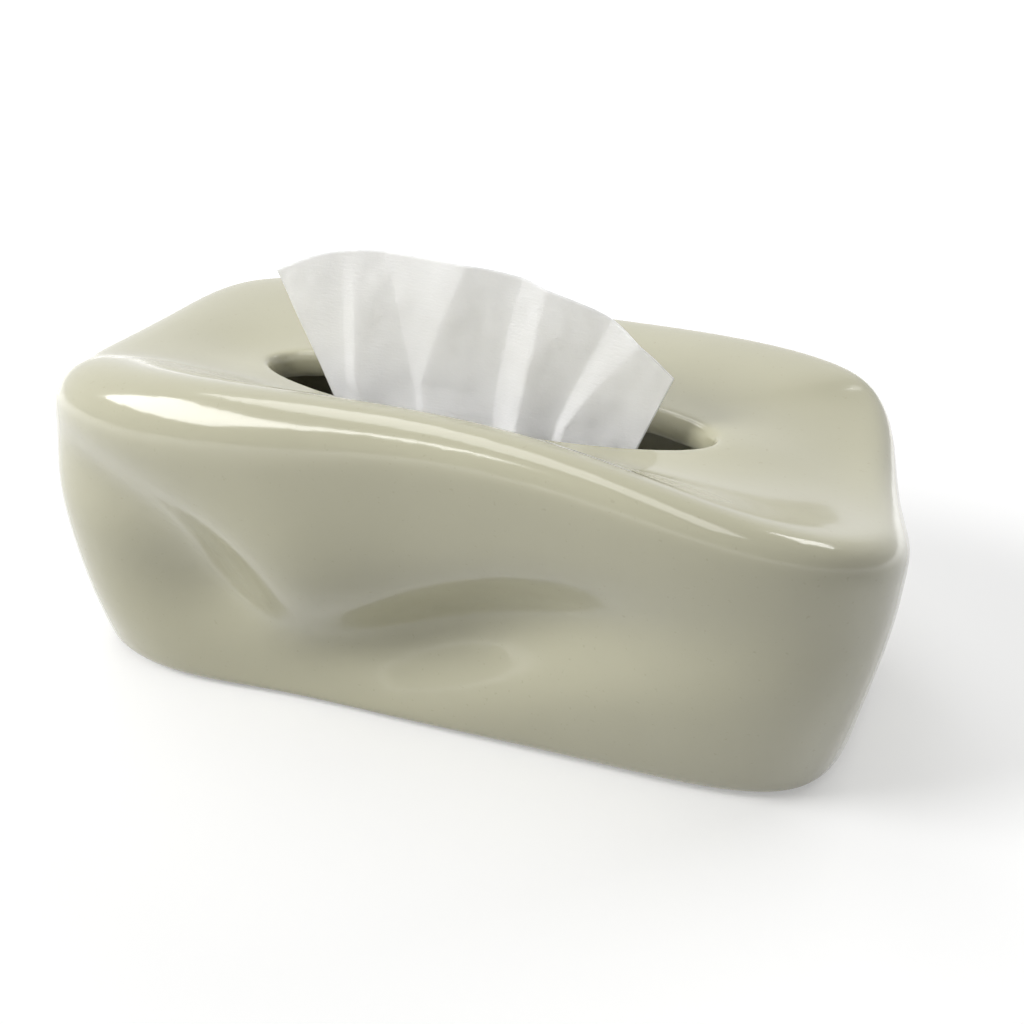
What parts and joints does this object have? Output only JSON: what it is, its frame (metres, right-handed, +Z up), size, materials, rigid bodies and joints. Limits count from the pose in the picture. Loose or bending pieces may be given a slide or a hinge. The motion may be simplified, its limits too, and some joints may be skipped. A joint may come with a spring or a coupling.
{
  "type": "tissue box cover",
  "caption": "Free-form glazed cover with wavy walls and a lens-shaped slot in its dished top, over a base plate that carries a folded tissue refill with a sheet standing in the slot.",
  "frame": {"origin": "centre of the cover's box in plan, on the floor that the rubber feet stand on", "axes": "+X along the cover's length to the right seen from the front, +Y to the rear, +Z up"},
  "size_m": [0.2193, 0.129, 0.1085],
  "materials": {
    "glaze": "glossy sage beige glaze",
    "plate": "fine matte moulding",
    "seal": "soft matte",
    "rubber": "matte",
    "tissue": "soft uncoated"
  },
  "bodies": {
    "base": {"base_plate": "plate", "seat_ring": "seal", "front_left_foot": "rubber", "front_right_foot": "rubber", "rear_left_foot": "rubber", "rear_right_foot": "rubber", "tissue_stack": "tissue"},
    "cover": {"cover_shell": "glaze"},
    "tissue": {"pulled_tissue": "tissue"}
  },
  "joints": [
    {"name": "cover_lift", "type": "slide", "parent": "base", "child": "cover", "axis": [0, 0, 1], "range_m": [0, 0.13]},
    {"name": "tissue_pull", "type": "slide", "parent": "base", "child": "tissue", "axis": [0, 0, 1], "range_m": [0, 0.06]}
  ]
}
